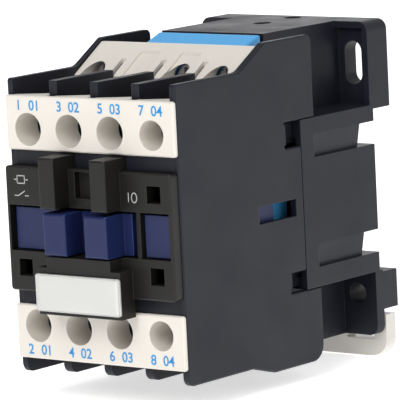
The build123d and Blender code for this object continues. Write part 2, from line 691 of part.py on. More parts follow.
# ---------------------------------------------------------------- contact carrier
# One moulding: the plate behind the deck, a post through each pole, the bar that shows in the
# window with its two raised blocks, and the guide arms beside the magnet.
post_half = bay_w / 2 - POST_CLEAR
cage_half = post_half - POST_WALL
arm_out = half_w - 2.0
bar_x = half_w - 2.0
raised_fwd = rib_fwd - 0.1
raised = (2.5, 8.4)
groove = (post_x - 2.3, post_x + 1.1)
key_fwd = plate_fwd - 3.9
key_t = 2.0
grip_in = CORE_STACK / 2 + FIT / 2
grip_out = grip_in + 2.4
plate_z = term_z - SCREW_D / 2 - 1.5

with BuildPart() as carrier:
    block(-grip_out - 4, grip_out + 4, plate_fwd, plate_fwd + PLATE_T, -plate_z, plate_z)
    block(-arm_out, arm_out, plate_fwd, plate_fwd + PLATE_T, -POST_H / 2 - 2, POST_H / 2 + 2)
    for side in (-1, 1):
        a0, a1 = sorted((side * arm_in, side * arm_out))
        block(a0, a1, arm_back, plate_fwd, -POST_H / 2, POST_H / 2)
        g0, g1 = sorted((side * grip_in, side * grip_out))
        block(g0, g1, plate_fwd - ARM_DEPTH + YOKE_T + 2, plate_fwd, -4, 4)
    block(-grip_out, grip_out, key_fwd, key_fwd + key_t, -1.6, 1.6, mode=Mode.SUBTRACT)
    for x in pole_x:
        block(x - post_half, x + post_half, plate_fwd, bar_fwd - 0.3, -POST_H / 2, POST_H / 2)
        block(x - cage_half, x + cage_half, ledge_fwd, cap_fwd, -POST_H, POST_H, mode=Mode.SUBTRACT)
    block(-bar_x, bar_x, cap_fwd, bar_fwd, -BAR_H / 2, BAR_H / 2)
    block(groove[0], groove[1], bar_fwd - 2.0, bar_fwd, -BAR_H, BAR_H, mode=Mode.SUBTRACT)
    for side in (-1, 1):
        r0, r1 = sorted((side * raised[0], side * raised[1]))
        block(r0, r1, bar_fwd, raised_fwd, -BAR_H / 2, BAR_H / 2)
    tips = carrier.edges().filter_by(lambda e: e.center().Y < -raised_fwd + 0.01)
    fillet(tips, radius=0.5)
save(carrier.part, "contact_carrier")

# ---------------------------------------------------------------- armature and its retainer
arm_yoke_fwd = plate_fwd - YOKE_T
with BuildPart() as armature:
    side_face(
        [
            (plate_fwd, -core_half),
            (plate_fwd, core_half),
            (arm_fwd, core_half),
            (arm_fwd, leg_in),
            (arm_yoke_fwd, leg_in),
            (arm_yoke_fwd, LEG_MID / 2),
            (arm_fwd, LEG_MID / 2),
            (arm_fwd, -LEG_MID / 2),
            (arm_yoke_fwd, -LEG_MID / 2),
            (arm_yoke_fwd, -leg_in),
            (arm_fwd, -leg_in),
            (arm_fwd, -core_half),
        ],
        -CORE_STACK / 2,
        CORE_STACK / 2,
    )
    block(-CORE_STACK, CORE_STACK, key_fwd, key_fwd + key_t, -1.6, 1.6, mode=Mode.SUBTRACT)
save(armature.part, "armature")

with BuildPart() as retainer:
    key_x = grip_out + 0.8
    block(-key_x, key_x, key_fwd + 0.1, key_fwd + key_t - 0.1, -1.5, 1.5)
    fillet(retainer.edges().filter_by(Axis.Y), radius=0.6)
save(retainer.part, "armature_retainer")

# ---------------------------------------------------------------- return spring
spring_in = (CORE_STACK**2 + LEG_MID**2) ** 0.5 / 2
spring_r = spring_in + 0.3 + SPRING_WIRE / 2
seat_back = bobbin_front + SPRING_WIRE / 2
return_len = arm_yoke_fwd - bobbin_front - 2 * SPRING_SEAT
spring = coil_spring((0, -seat_back - SPRING_SEAT, 0), (0, -1, 0), spring_r, SPRING_WIRE, return_len, 5)
save(spring, "return_spring")

# ---------------------------------------------------------------- poles: contacts and springs
strip_half = bay_w / 2 - strip_slot - 2 * SEAT_FIT
strip_in = TIP_Z - 1.8
strip_out = side_z - 3.8
bridge_half = cage_half - FIT
contact_wire = 0.5
contact_r = cage_half - contact_wire / 2 - 0.4

for i, x in enumerate(pole_x, start=1):
    for name, sign in (("line_contact", 1), ("load_contact", -1)):
        with BuildPart() as strip:
            a, b = sorted((sign * strip_in, sign * strip_out))
            block(x - strip_half, x + strip_half, strip_fwd, strip_fwd + STRIP_T, a, b)
            rod(x, sign * TIP_Z, TIP_D, strip_fwd + STRIP_T, fixed_tip_fwd)
            hole_d = SCREW_D + 2 * THREAD_CLEAR
            rod(x, sign * term_z, hole_d, strip_fwd - 1, strip_fwd + 2, mode=Mode.SUBTRACT)
        save(strip.part, name + "_" + str(i))
    with BuildPart() as bridge:
        reach = TIP_Z + TIP_D / 2 + 0.2
        block(x - bridge_half, x + bridge_half, ledge_fwd, bridge_front_fwd, -reach, reach)
        fillet(bridge.edges().filter_by(Axis.Y), radius=0.6)
        for z in (-TIP_Z, TIP_Z):
            rod(x, z, TIP_D, bridge_tip_fwd, ledge_fwd)
    save(bridge.part, "bridge_contact_" + str(i))
    start = (x, -bridge_front_fwd - contact_wire / 2 - SPRING_SEAT, 0)
    length = CONTACT_SPRING - 2 * SPRING_SEAT
    spring = coil_spring(start, (0, -1, 0), contact_r, contact_wire, length, 5)
    save(spring, "contact_spring_" + str(i))


# ---------------------------------------------------------------- screws and clamps
def cross_screw(x, z, under_head, head_d, shank_end, head_t=HEAD_T):
    """Pan-head cross-slot screw, head towards the front, shank back to shank_end."""
    with BuildPart() as screw:
        rod(x, z, SCREW_D, shank_end, under_head)
        rod(x, z, head_d, under_head, under_head + head_t)
        front = screw.faces().sort_by(Axis.Y)[0]
        fillet(front.edges(), radius=0.7)
        top = under_head + head_t
        block(x - 2.3, x + 2.3, top - 1.1, top + 1, z - 0.5, z + 0.5, mode=Mode.SUBTRACT)
        block(x - 0.5, x + 0.5, top - 1.1, top + 1, z - 2.3, z + 2.3, mode=Mode.SUBTRACT)
    return screw.part


clamp_half = bay_w / 2 - 0.7
screw_places = [(x, term_z) for x in pole_x] + [(x, -term_z) for x in pole_x]
for i, (x, z) in enumerate(screw_places, start=1):
    save(cross_screw(x, z, head_fwd, HEAD_D, strip_fwd - 1.3), "terminal_screw_" + str(i))
    with BuildPart() as clamp:
        c_z = min(clamp_half, TERM_RISE - FIT)
        block(x - clamp_half, x + clamp_half, clamp_fwd, head_fwd, z - c_z, z + c_z)
        fillet(clamp.edges().filter_by(Axis.Y), radius=0.8)
        # Two bent-down edges keep the clamp square on its strip.
        for side in (-1, 1):
            e0, e1 = sorted((x + side * clamp_half, x + side * (clamp_half - 0.7)))
            block(e0, e1, clamp_fwd - 1.2, clamp_fwd + 0.1, z - 2, z + 2)
        rod(x, z, SCREW_D + 0.1, clamp_fwd - 2, head_fwd + 1, mode=Mode.SUBTRACT)
    save(clamp.part, "terminal_clamp_" + str(i))

for i, x in enumerate(coil_screw_x, start=1):
    with BuildPart() as washer:
        rod(x, coil_screw_z, coil_head_d, coil_under - WASHER_T, coil_under)
        rod(x, coil_screw_z, SCREW_D + 0.1, coil_under - 2, coil_under + 1, mode=Mode.SUBTRACT)
    tip = coil_plate_fwd - 0.3
    screw = cross_screw(x, coil_screw_z, coil_under, coil_head_d, tip, COIL_HEAD_T)
    save(Compound(children=[screw, washer.part]), "coil_screw_" + str(i))

# ---------------------------------------------------------------- rail clip and its springs
# A flat frame that slides down behind the lower ears; its tongue holds the rail's lower flange.
clip_low = base_low + 5.2
clip_bar = 3.8
clip_fwd = -clip_back
arm_top = low_block_z + 4.4
window = (3.8, 8.6)
clip_window_top = -rail_z - 4.5
clip_window_low = -base_low - 1.5

with BuildPart() as clip:
    block(-half_w, half_w, clip_fwd - clip_t, clip_fwd, -clip_low, -clip_low + clip_bar)
    for side in (-1, 1):
        a0, a1 = sorted((side * half_w, side * (half_w - 3.4)))
        block(a0, a1, clip_fwd - clip_t, clip_fwd, -clip_low, -arm_top + 3)
    outer_low = clip.edges().filter_by(Axis.Y).filter_by(lambda e: e.center().Z < -clip_low + 0.1)
    fillet(outer_low, radius=4.2)
    tongue = clip_half - FIT
    block(-tongue, tongue, clip_fwd - clip_t, clip_fwd, -clip_low, -rail_z + HOOK_GRIP + RAIL_PLAY)
    rail_end = clip.faces().sort_by(Axis.Z)[-1].edges().sort_by(Axis.Y)[-1]
    chamfer(rail_end, length=1.2)
    block(-tongue - 1.2, tongue + 1.2, clip_fwd - 2.1, clip_fwd - 1.0, -low_block_z + 1, -rail_z - 1)
    for side in (-1, 1):
        w0, w1 = sorted((side * window[0], side * window[1]))
        block(w0, w1, clip_fwd - clip_t, clip_fwd, clip_window_low, clip_window_top, mode=Mode.SUBTRACT)
save(clip.part, "rail_clip")

spring_base = -base_low + CLIP_SHELF
spring_len = clip_window_top - spring_base - 2 * SPRING_SEAT
clip_wire = 0.5
clip_r = 1.2
pair = []
for side in (-1, 1):
    start = (side * CLIP_SPRING_X, clip_back + clip_t / 2, spring_base + clip_wire / 2 + SPRING_SEAT)
    pair.append(coil_spring(start, (0, 0, 1), clip_r, clip_wire, spring_len, 7))
save(Compound(children=pair), "clip_springs")
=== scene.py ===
# %% [markdown]
# # A four-pole contactor for a 35 mm rail
#
# This lesson dresses a finished mechanical model. The moulded casings, screws and contacts come
# ready made and stay exactly where they are. Here each gets the finish that the real one has,
# and the pieces that a mechanical model only hints at are made properly: wound springs, a coil
# with visible turns, a crowned marker plate and the small prints beside the terminals.
#
# Lengths are metres. +X is to the right seen from the front, +Y goes back to the rail, +Z is up.

import math

import bpy
import numpy as np
from mathutils import Matrix, Vector


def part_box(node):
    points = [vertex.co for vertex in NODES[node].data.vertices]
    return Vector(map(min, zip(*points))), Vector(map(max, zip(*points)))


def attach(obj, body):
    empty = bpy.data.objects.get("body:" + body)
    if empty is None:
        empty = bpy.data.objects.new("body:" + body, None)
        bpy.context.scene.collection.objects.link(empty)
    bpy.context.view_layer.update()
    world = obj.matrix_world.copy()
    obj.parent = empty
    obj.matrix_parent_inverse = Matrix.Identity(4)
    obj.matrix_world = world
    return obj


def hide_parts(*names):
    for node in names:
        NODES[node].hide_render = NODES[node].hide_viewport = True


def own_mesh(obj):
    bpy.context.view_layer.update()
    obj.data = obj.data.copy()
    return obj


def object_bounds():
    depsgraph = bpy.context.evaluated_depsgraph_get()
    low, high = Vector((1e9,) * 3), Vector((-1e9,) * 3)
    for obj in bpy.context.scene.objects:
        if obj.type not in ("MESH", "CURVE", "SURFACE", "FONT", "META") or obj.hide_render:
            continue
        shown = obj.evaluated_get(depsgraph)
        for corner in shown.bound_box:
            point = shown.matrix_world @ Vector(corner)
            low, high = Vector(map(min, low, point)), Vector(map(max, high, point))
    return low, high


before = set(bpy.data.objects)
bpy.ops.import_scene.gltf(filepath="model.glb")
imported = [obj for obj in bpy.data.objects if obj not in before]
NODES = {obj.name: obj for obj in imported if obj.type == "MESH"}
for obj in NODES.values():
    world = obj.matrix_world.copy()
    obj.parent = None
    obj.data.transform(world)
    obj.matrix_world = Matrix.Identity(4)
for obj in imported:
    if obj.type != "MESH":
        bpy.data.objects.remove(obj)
cad_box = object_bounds()
MM = 0.001
POLES = 4

# %% [markdown]
# ## The camera
#
# A long lens from about 0.95 m keeps the edges nearly parallel, which is how small products are
# usually shot. The camera's three axes are written straight into its matrix, because a small roll
# is easier to give that way than with angles.

# %% Camera
CAMERA_PLACE = Vector((0.5647, -0.7457, 0.1312))
CAMERA_RIGHT = Vector((0.78704, 0.61500, -0.04846))
CAMERA_UP = Vector((-0.04920, 0.14087, 0.98881))
CAMERA_BACK = Vector((0.61494, -0.77585, 0.14113))
LENS_MM = 386.9
SENSOR_MM = 36.0

camera_data = bpy.data.cameras.new("camera")
camera_data.lens = LENS_MM
camera_data.sensor_width = SENSOR_MM
camera_data.clip_start = 0.05
camera_data.clip_end = 20.0
camera = bpy.data.objects.new("camera", camera_data)
bpy.context.scene.collection.objects.link(camera)
turn = Matrix((CAMERA_RIGHT, CAMERA_UP, CAMERA_BACK)).transposed().to_4x4()
camera.matrix_world = Matrix.Translation(CAMERA_PLACE) @ turn
bpy.context.scene.camera = camera
bpy.context.scene.view_settings.view_transform = "Standard"
print("camera", round(CAMERA_PLACE.length, 3), "m away")

# %% [markdown]
# ## Colours and nodes
#
# Colours are easiest to pick as the hex codes that a screen shows, but a renderer adds up light,
# so each code is turned into linear light first. Nodes are added by one small function: options
# are named, and each input is either linked to another node's output or set to a value.

# %% Colour and node helpers
SRGB_KNEE = 0.04045


def linear(hex_code):
    """A screen colour as linear light: each channel c is c / 12.92 below the knee, and
    ((c + 0.055) / 1.055) to the power 2.4 above it."""
    channels = [int(hex_code[i:i + 2], 16) / 255 for i in (1, 3, 5)]
    light = [c / 12.92 if c <= SRGB_KNEE else ((c + 0.055) / 1.055) ** 2.4 for c in channels]
    return (*light, 1.0)


def add_node(tree, kind, inputs=None, **options):
    """Adds one node. An input given as another node's output is linked; any other value is set."""
    node = tree.nodes.new(kind)
    for name, value in options.items():
        setattr(node, name, value)
    for key, value in (inputs or {}).items():
        if isinstance(value, bpy.types.NodeSocket):
            tree.links.new(value, node.inputs[key])
        else:
            node.inputs[key].default_value = value
    return node


def new_material(name):
    """A material with its shader, and the object's own coordinates, which stay put on a piece."""
    material = bpy.data.materials.new(name)
    material.use_nodes = True
    tree = material.node_tree
    shader = tree.nodes["Principled BSDF"]
    place = add_node(tree, "ShaderNodeTexCoord").outputs["Object"]
    return material, tree, shader, place


# Inputs of the colour Mix node, which has three kinds of A and B under the same names.
MIX_A, MIX_B, MIX_OUT = 6, 7, 2
print("dark nylon as light:", [round(c, 4) for c in linear("#2a2b30")[:3]])

# %% [markdown]
# ## Moulded plastic
#
# Nearly everything outside is injection moulded. A moulding shows a fine grain that the
# spark-eroded mould left, broad soft clouds where the melt flowed and a slightly uneven gloss.
# Its rounded edges catch the light and look paler; that paler edge is a painted highlight in the
# colour. The Bevel node rounds the shading of every sharp edge, and comparing its normal with the
# true one finds where those edges are.

# %% Moulded plastic
EDGE_MM = 0.25  # radius of the rounded shading
EDGE_SEEN = 6.0  # how quickly the edge mask rises as the surface turns
EDGE_MOST = 0.8  # share of the edge colour where the mask is full
OPEN_AIR_MM = 1.2  # how far the open air round a point is looked at
OPEN_FROM, OPEN_TO = 0.75, 0.95  # openness where the edge colour starts and is full
CLOUD_MM = 9.0  # size of the flow clouds
PLASTIC_IOR = 1.5


def moulded(name, body, cloud, edge, gloss, grain_mm, grain_height, specular=0.5):
    """Moulded plastic: body and cloud colours mixed by a broad noise, a paler edge colour as a
    painted highlight where the rounded normal leaves the true one, and a bump of fine grain. gloss
    is (lowest, highest) roughness, grain_height is in millimetres, specular is the strength of the
    reflection."""
    material, tree, shader, place = new_material(name)
    clouds = add_node(tree, "ShaderNodeTexNoise", {
        "Vector": place, "Scale": 1 / (CLOUD_MM * MM), "Detail": 3.0, "Roughness": 0.55})
    tint = add_node(tree, "ShaderNodeMix", {
        0: clouds.outputs["Fac"], MIX_A: linear(body), MIX_B: linear(cloud)}, data_type="RGBA")
    rounded = add_node(tree, "ShaderNodeBevel", {"Radius": EDGE_MM * MM}, samples=6)
    true = add_node(tree, "ShaderNodeNewGeometry")
    agree = add_node(tree, "ShaderNodeVectorMath", {
        0: rounded.outputs["Normal"], 1: true.outputs["True Normal"]}, operation="DOT_PRODUCT")
    edges = add_node(tree, "ShaderNodeMapRange", {
        "Value": agree.outputs["Value"], "From Min": 1.0, "From Max": 1 - 1 / EDGE_SEEN,
        "To Min": 0.0, "To Max": EDGE_MOST})
    # Inner corners turn the normal too, but they are half shut in, so the painted highlight is
    # masked out there.
    open_air = add_node(tree, "ShaderNodeAmbientOcclusion", {
        "Distance": OPEN_AIR_MM * MM}, samples=6)
    outer = add_node(tree, "ShaderNodeMapRange", {
        "Value": open_air.outputs["AO"], "From Min": OPEN_FROM, "From Max": OPEN_TO})
    rim = add_node(tree, "ShaderNodeMath", {
        0: edges.outputs["Result"], 1: outer.outputs["Result"]}, operation="MULTIPLY")
    # Painted highlight: the paler edge colour is mixed into the body colour on outer edges.
    painted_edge_highlight = add_node(tree, "ShaderNodeMix", {
        0: rim.outputs["Value"], MIX_A: tint.outputs[MIX_OUT], MIX_B: linear(edge)},
        data_type="RGBA")
    tree.links.new(painted_edge_highlight.outputs[MIX_OUT], shader.inputs["Base Color"])
    grain = add_node(tree, "ShaderNodeTexNoise", {
        "Vector": place, "Scale": 1 / (grain_mm * MM), "Detail": 2.0, "Roughness": 0.6})
    sheen = add_node(tree, "ShaderNodeMapRange", {
        "Value": clouds.outputs["Fac"], "From Min": 0.3, "From Max": 0.7,
        "To Min": gloss[0], "To Max": gloss[1]})
    tree.links.new(sheen.outputs["Result"], shader.inputs["Roughness"])
    bump = add_node(tree, "ShaderNodeBump", {
        "Height": grain.outputs["Fac"], "Distance": grain_height * MM, "Strength": 0.6,
        "Normal": rounded.outputs["Normal"]})
    tree.links.new(bump.outputs["Normal"], shader.inputs["Normal"])
    shader.inputs["IOR"].default_value = PLASTIC_IOR
    shader.inputs["Specular IOR Level"].default_value = specular
    return material


# The third colour of each finish below is its painted edge highlight.
# Glass-filled polyamide, spark-eroded mould: near black, satin, with a cool cast on the body.
# Its real grain is about 0.1 mm across and is drawn at 0.35 mm, so that it shows.
black_nylon = moulded(
    "black_glass_filled_nylon", "#14151d", "#1a1c26", "#3b3e4b", (0.42, 0.56), 0.35, 0.012, 0.3)
# The front plate is the same polyamide from a smoother mould, a little browner.
panel_nylon = moulded(
    "satin_black_nylon_front", "#151413", "#1b1a18", "#3f3d39", (0.40, 0.50), 0.5, 0.006, 0.32)
# Polycarbonate covers, warm white and nearly smooth.
cover_white = moulded(
    "warm_white_polycarbonate", "#dcd6cc", "#e1dbd3", "#efebe5", (0.38, 0.48), 0.8, 0.004)
# Polystyrene label plate: cooler and flatter white than the covers.
label_white = moulded(
    "matt_white_polystyrene", "#c9c9c5", "#cfcfcc", "#e2e2e0", (0.48, 0.58), 0.6, 0.003)
# Dark ultramarine polyamide of the contact carrier.
carrier_blue = moulded(
    "ultramarine_nylon", "#141f4c", "#1a2450", "#4866ae", (0.36, 0.48), 0.6, 0.006, 0.36)
# Bright blue polyester of the coil former.
former_blue = moulded(
    "sky_blue_polyester", "#44a8e8", "#54b2f0", "#a2d6fb", (0.34, 0.44), 0.7, 0.005)
# Natural acetal of the rail clip: off-white and waxy.
clip_white = moulded(
    "natural_acetal", "#d6d2cb", "#dedad4", "#f0ede8", (0.34, 0.44), 0.7, 0.005)
# Both of these let light a little way in, red furthest, which softens their shadows.
SOFT_DEPTHS = (0.0012, 0.0009, 0.0007)
for waxy in (cover_white, clip_white):
    soft = waxy.node_tree.nodes["Principled BSDF"]
    soft.inputs["Subsurface Weight"].default_value = 0.15
    soft.inputs["Subsurface Radius"].default_value = SOFT_DEPTHS
    soft.inputs["Subsurface Scale"].default_value = 0.6
print("moulded finishes:", [m.name for m in bpy.data.materials if m.use_nodes])

# %% [markdown]
# ## Metals
#
# Screws and clamps are steel with a bright zinc plating, the contacts are brass and copper, and
# the magnet is a stack of thin electrical steel sheets, whose cut edges show as fine stripes.
# A metal's colour is in its reflection, so metallic is 1 and the default IOR is left alone.

# %% Metals
SHEET_MM = 0.5  # one lamination of the magnet
PATINA_MM = 2.5  # size of the uneven patches in a polish
METAL_EDGE_MM = 0.12  # radius of a stamped edge


def metal(name, colour, dull, roughness, scratch_mm, height):
    """Metal with a fine uneven polish: noise moves the colour between two tones and dents the
    surface by a few micrometres. roughness is (lowest, highest), height is in millimetres."""
    material, tree, shader, place = new_material(name)
    patina = add_node(tree, "ShaderNodeTexNoise", {
        "Vector": place, "Scale": 1 / (PATINA_MM * MM), "Detail": 4.0, "Roughness": 0.6})
    tint = add_node(tree, "ShaderNodeMix", {
        0: patina.outputs["Fac"], MIX_A: linear(colour), MIX_B: linear(dull)}, data_type="RGBA")
    tree.links.new(tint.outputs[MIX_OUT], shader.inputs["Base Color"])
    polish = add_node(tree, "ShaderNodeMapRange", {
        "Value": patina.outputs["Fac"], "To Min": roughness[0], "To Max": roughness[1]})
    tree.links.new(polish.outputs["Result"], shader.inputs["Roughness"])
    fine = add_node(tree, "ShaderNodeTexNoise", {
        "Vector": place, "Scale": 1 / (scratch_mm * MM), "Detail": 2.0})
    rounded = add_node(tree, "ShaderNodeBevel", {"Radius": METAL_EDGE_MM * MM}, samples=4)
    bump = add_node(tree, "ShaderNodeBump", {
        "Height": fine.outputs["Fac"], "Distance": height * MM, "Strength": 0.5,
        "Normal": rounded.outputs["Normal"]})
    tree.links.new(bump.outputs["Normal"], shader.inputs["Normal"])
    shader.inputs["Metallic"].default_value = 1.0
    return material


# Steel screws and clamps with bright zinc plating: cool, clear reflections, patchy polish.
zinc = metal("zinc_plated_steel", "#c9cbd0", "#a9abb0", (0.22, 0.36), 0.3, 0.004)
# Drawn spring wire: greyer, with long soft highlights along each turn.
spring_wire = metal("drawn_spring_steel", "#b4b5b8", "#8d8e92", (0.24, 0.38), 0.25, 0.003)
# Stamped brass strip, yellow and slightly dulled by the press.
brass = metal("stamped_brass", "#d7b45e", "#bf9a48", (0.26, 0.42), 0.4, 0.004)
# Rolled copper: warm pink, darker where it has been handled.
copper = metal("rolled_copper", "#d58a62", "#b96f4b", (0.24, 0.40), 0.4, 0.004)
# Cold rolled steel strip, bright and even.
retainer_steel = metal("bright_cold_rolled_steel", "#bfc0c2", "#9c9da0", (0.28, 0.42), 0.3, 0.004)


def laminated_steel():
    """Sheets on edge: a triangle wave along X that falls to zero once in two sheets, because
    single joints are too fine to show. Near zero it darkens the surface and presses it in."""
    material, tree, shader, place = new_material("laminated_electrical_steel")
    across = add_node(tree, "ShaderNodeSeparateXYZ", {"Vector": place})
    tooth = add_node(tree, "ShaderNodeMath", {
        0: across.outputs["X"], 1: SHEET_MM * MM}, operation="PINGPONG")
    joint = add_node(tree, "ShaderNodeMapRange", {
        "Value": tooth.outputs["Value"], "From Min": 0.0, "From Max": 0.25 * SHEET_MM * MM})
    tint = add_node(tree, "ShaderNodeMix", {
        0: joint.outputs["Result"], MIX_A: linear("#3b3d42"), MIX_B: linear("#8c8e93")},
        data_type="RGBA")
    tree.links.new(tint.outputs[MIX_OUT], shader.inputs["Base Color"])
    bump = add_node(tree, "ShaderNodeBump", {
        "Height": joint.outputs["Result"], "Distance": 0.02 * MM})
    tree.links.new(bump.outputs["Normal"], shader.inputs["Normal"])
    shader.inputs["Metallic"].default_value = 1.0
    shader.inputs["Roughness"].default_value = 0.4
    return material


core_steel = laminated_steel()
print("one magnet sheet:", SHEET_MM, "mm")

# %% [markdown]
# ## Rubber, enamel and ink
#
# The magnet rests on a sheet of black rubber, which is matt and slightly speckled. The coil's
# wire is copper under clear enamel, so it is a metal with a smooth coat. The terminal numbers
# are pad printed in blue ink: a thin film, a little uneven where it is thin.

# %% Rubber, enamelled wire and inks
def speckled(name, colour, fleck, roughness, speck_mm, height):
    """A matt film or rubber: a noise mixes two tones and dents the surface."""
    material, tree, shader, place = new_material(name)
    specks = add_node(tree, "ShaderNodeTexNoise", {
        "Vector": place, "Scale": 1 / (speck_mm * MM), "Detail": 3.0, "Roughness": 0.7})
    tint = add_node(tree, "ShaderNodeMix", {
        0: specks.outputs["Fac"], MIX_A: linear(colour), MIX_B: linear(fleck)}, data_type="RGBA")
    tree.links.new(tint.outputs[MIX_OUT], shader.inputs["Base Color"])
    bump = add_node(tree, "ShaderNodeBump", {
        "Height": specks.outputs["Fac"], "Distance": height * MM, "Strength": 0.5})
    tree.links.new(bump.outputs["Normal"], shader.inputs["Normal"])
    shader.inputs["Roughness"].default_value = roughness
    return material


# Nitrile rubber sheet: dead matt, with pale specks of filler.
rubber = speckled("black_nitrile_rubber", "#141414", "#202020", 0.85, 0.4, 0.01)
# Pad-printed ink: matt, a little uneven, real grain far finer than the 0.25 mm drawn here.
blue_ink = speckled("blue_pad_print", "#1f84c4", "#3596d0", 0.55, 0.25, 0.002)
grey_ink = speckled("light_grey_pad_print", "#a9aaa8", "#bcbdbb", 0.55, 0.25, 0.002)
# Copper wire under clear enamel: a reddish metal with a glossy coat over it.
enamel = metal("enamelled_copper_wire", "#b5602f", "#9a4c22", (0.22, 0.32), 0.4, 0.002)
enamel_shader = enamel.node_tree.nodes["Principled BSDF"]
enamel_shader.inputs["Coat Weight"].default_value = 0.8
enamel_shader.inputs["Coat Roughness"].default_value = 0.1
print("finishes so far:", len(bpy.data.materials))

# %% [markdown]
# ## Dressing the mechanical pieces
#
# A piece takes its finish by what it is made of. Its own material slots are filled, and its
# shape isn't touched.

# %% Finishes by piece
FINISHES = {
    "base": black_nylon, "contact_housing": black_nylon, "front_panel": panel_nylon,
    "upper_terminal_cover": cover_white, "lower_terminal_cover": cover_white,
    "coil_terminal_cover": cover_white, "marker_plate": label_white,
    "contact_carrier": carrier_blue, "coil_bobbin": former_blue, "rail_clip": clip_white,
    "fixed_core": core_steel, "armature": core_steel, "armature_retainer": retainer_steel,
    "shading_rings": copper, "core_cushion": rubber, "coil_winding": enamel,
    "coil_terminals": brass, "return_spring": spring_wire, "clip_springs": spring_wire,
    "contact_spring": spring_wire, "line_contact": brass, "load_contact": brass,
    "bridge_contact": copper, "terminal_screw": zinc, "terminal_clamp": zinc,
    "coil_screw": zinc,
}


def finish_of(node_name):
    """The finish of a piece, or of the family that a numbered piece belongs to."""
    family = node_name.rstrip("0123456789").rstrip("_")
    return FINISHES[node_name] if node_name in FINISHES else FINISHES[family]


for node_name, node in NODES.items():
    node.data.materials.clear()
    node.data.materials.append(finish_of(node_name))
print("dressed", len(NODES), "pieces")

# %% [markdown]
# ## Surfaces from two parameters
#
# Every new shape below is a grid of points worked out at once with numpy. Rows of the grid are
# joined to their neighbours by quads. A grid can be closed along either direction, or its first
# and last rows can be closed by a fan around one point, so that the shape is watertight.

# %% Mesh from a grid
def grid_piece(name, rows, material, body, close_rows=False, fans=False):
    """Makes a mesh from points of shape (rows, columns, 3). Columns always close on themselves.
    close_rows joins the last row to the first; fans closes the first and last rows instead."""
    count, around = rows.shape[:2]
    index = np.arange(count * around).reshape(count, around)
    lower = index if close_rows else index[:-1]
    upper = np.roll(index, -1, axis=0) if close_rows else index[1:]
    quads = np.stack(
        [lower, np.roll(lower, -1, axis=1), np.roll(upper, -1, axis=1), upper], axis=-1)
    points = rows.reshape(-1, 3)
    faces = quads.reshape(-1, 4).tolist()
    if fans:
        ends = np.stack([rows[0].mean(axis=0), rows[-1].mean(axis=0)])
        points = np.concatenate([points, ends])
        first, last = count * around, count * around + 1
        ring = np.arange(around)
        ahead = np.roll(ring, -1)
        faces += np.stack([ahead, ring, np.full(around, first)], axis=-1).tolist()
        top = (count - 1) * around
        faces += np.stack([ring + top, ahead + top, np.full(around, last)], axis=-1).tolist()
    mesh = bpy.data.meshes.new(name)
    mesh.from_pydata(points.tolist(), [], faces)
    mesh.polygons.foreach_set("use_smooth", np.ones(len(mesh.polygons), bool))
    mesh.materials.append(material)
    mesh.update()
    mesh.validate()
    piece = bpy.data.objects.new(name, mesh)
    bpy.context.scene.collection.objects.link(piece)
    if enclosed_volume(mesh) < 0:
        mesh.flip_normals()
    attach(piece, body)
    return piece


def enclosed_volume(mesh):
    """Signed volume: a sixth of the sum of corner dot (next cross last) over all triangles,
    which is negative when the faces point inwards."""
    mesh.calc_loop_triangles()
    corners = np.empty(len(mesh.loop_triangles) * 3, np.int32)
    mesh.loop_triangles.foreach_get("vertices", corners)
    places = np.empty(len(mesh.vertices) * 3)
    mesh.vertices.foreach_get("co", places)
    a, b, c = places.reshape(-1, 3)[corners].reshape(-1, 3, 3).transpose(1, 0, 2)
    return float((a * np.cross(b, c)).sum() / 6)


print("grid helper ready")

# %% [markdown]
# ## Springs
#
# A compression spring is round wire on a helix. Its two end turns are wound shut, so the helix
# climbs slowly, then evenly, then slowly again. The real springs sit between two parts and are
# squeezed when the contactor pulls in; here each one is wound once at its rest length.

# %% Wound springs
END_TURNS = 1.0
STEPS_A_TURN = 36
WIRE_SIDES = 12
SHUT = 1.4  # where an end turn stops climbing, in wire thicknesses from the spring's end
X_AXIS, Y_AXIS, Z_AXIS = 0, 1, 2


def helix(name, centre, radius, wire, low, high, along, turns, body):
    """Round wire on a helix. At turn t the wire's centre is at angle 2 pi t, and it climbs by
    0.9 of the wire's thickness over each end turn and evenly between. A circle of the wire's
    radius is carried along it, one axis radial and the other square to that and the tangent."""
    across = [i for i in range(3) if i != along]
    t = np.linspace(0, turns, int(turns * STEPS_A_TURN) + 1)
    knots = [0, END_TURNS, turns - END_TURNS, turns]
    climb = [low + wire / 2, low + SHUT * wire, high - SHUT * wire, high - wire / 2]
    angle = 2 * math.pi * t
    outwards = np.zeros((len(t), 3))
    outwards[:, across[0]] = np.cos(angle)
    outwards[:, across[1]] = np.sin(angle)
    path = np.array(centre) + radius * outwards
    path[:, along] = np.interp(t, knots, climb)
    tangent = np.gradient(path, axis=0)
    tangent /= np.linalg.norm(tangent, axis=1, keepdims=True)
    square = np.cross(tangent, outwards)
    square /= np.linalg.norm(square, axis=1, keepdims=True)
    turn_round = np.linspace(0, 2 * math.pi, WIRE_SIDES, endpoint=False)[None, :, None]
    rows = path[:, None, :] + wire / 2 * (
        np.cos(turn_round) * outwards[:, None, :] + np.sin(turn_round) * square[:, None, :])
    # The wound ends are ground flat, inside the length that the spring has room for.
    rows[..., along] = np.clip(rows[..., along], low, high)
    return grid_piece(name, rows, spring_wire, body, fans=True)


def wound_spring(name, node_name, body, turns, wire_mm):
    """A helix along Y that fills the box of the piece it stands for."""
    low, high = (np.array(corner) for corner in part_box(node_name))
    wire = wire_mm * MM
    radius = (high[X_AXIS] - low[X_AXIS]) / 2 - wire / 2
    piece = helix(name, (low + high) / 2, radius, wire, low[Y_AXIS], high[Y_AXIS], Y_AXIS, turns,
                  body)
    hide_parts(node_name)
    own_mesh(piece)
    return piece


coil_spring = wound_spring(
    "wound_return_spring", "return_spring", "root", 4.0, 0.8)
print(coil_spring.name, len(coil_spring.data.polygons), "faces")

for pole in range(1, POLES + 1):
    node_name = f"contact_spring_{pole}"
    wound_spring(
        f"wound_contact_spring_{pole}", node_name, "carrier", 5.0, 0.5)
print("contact springs wound")
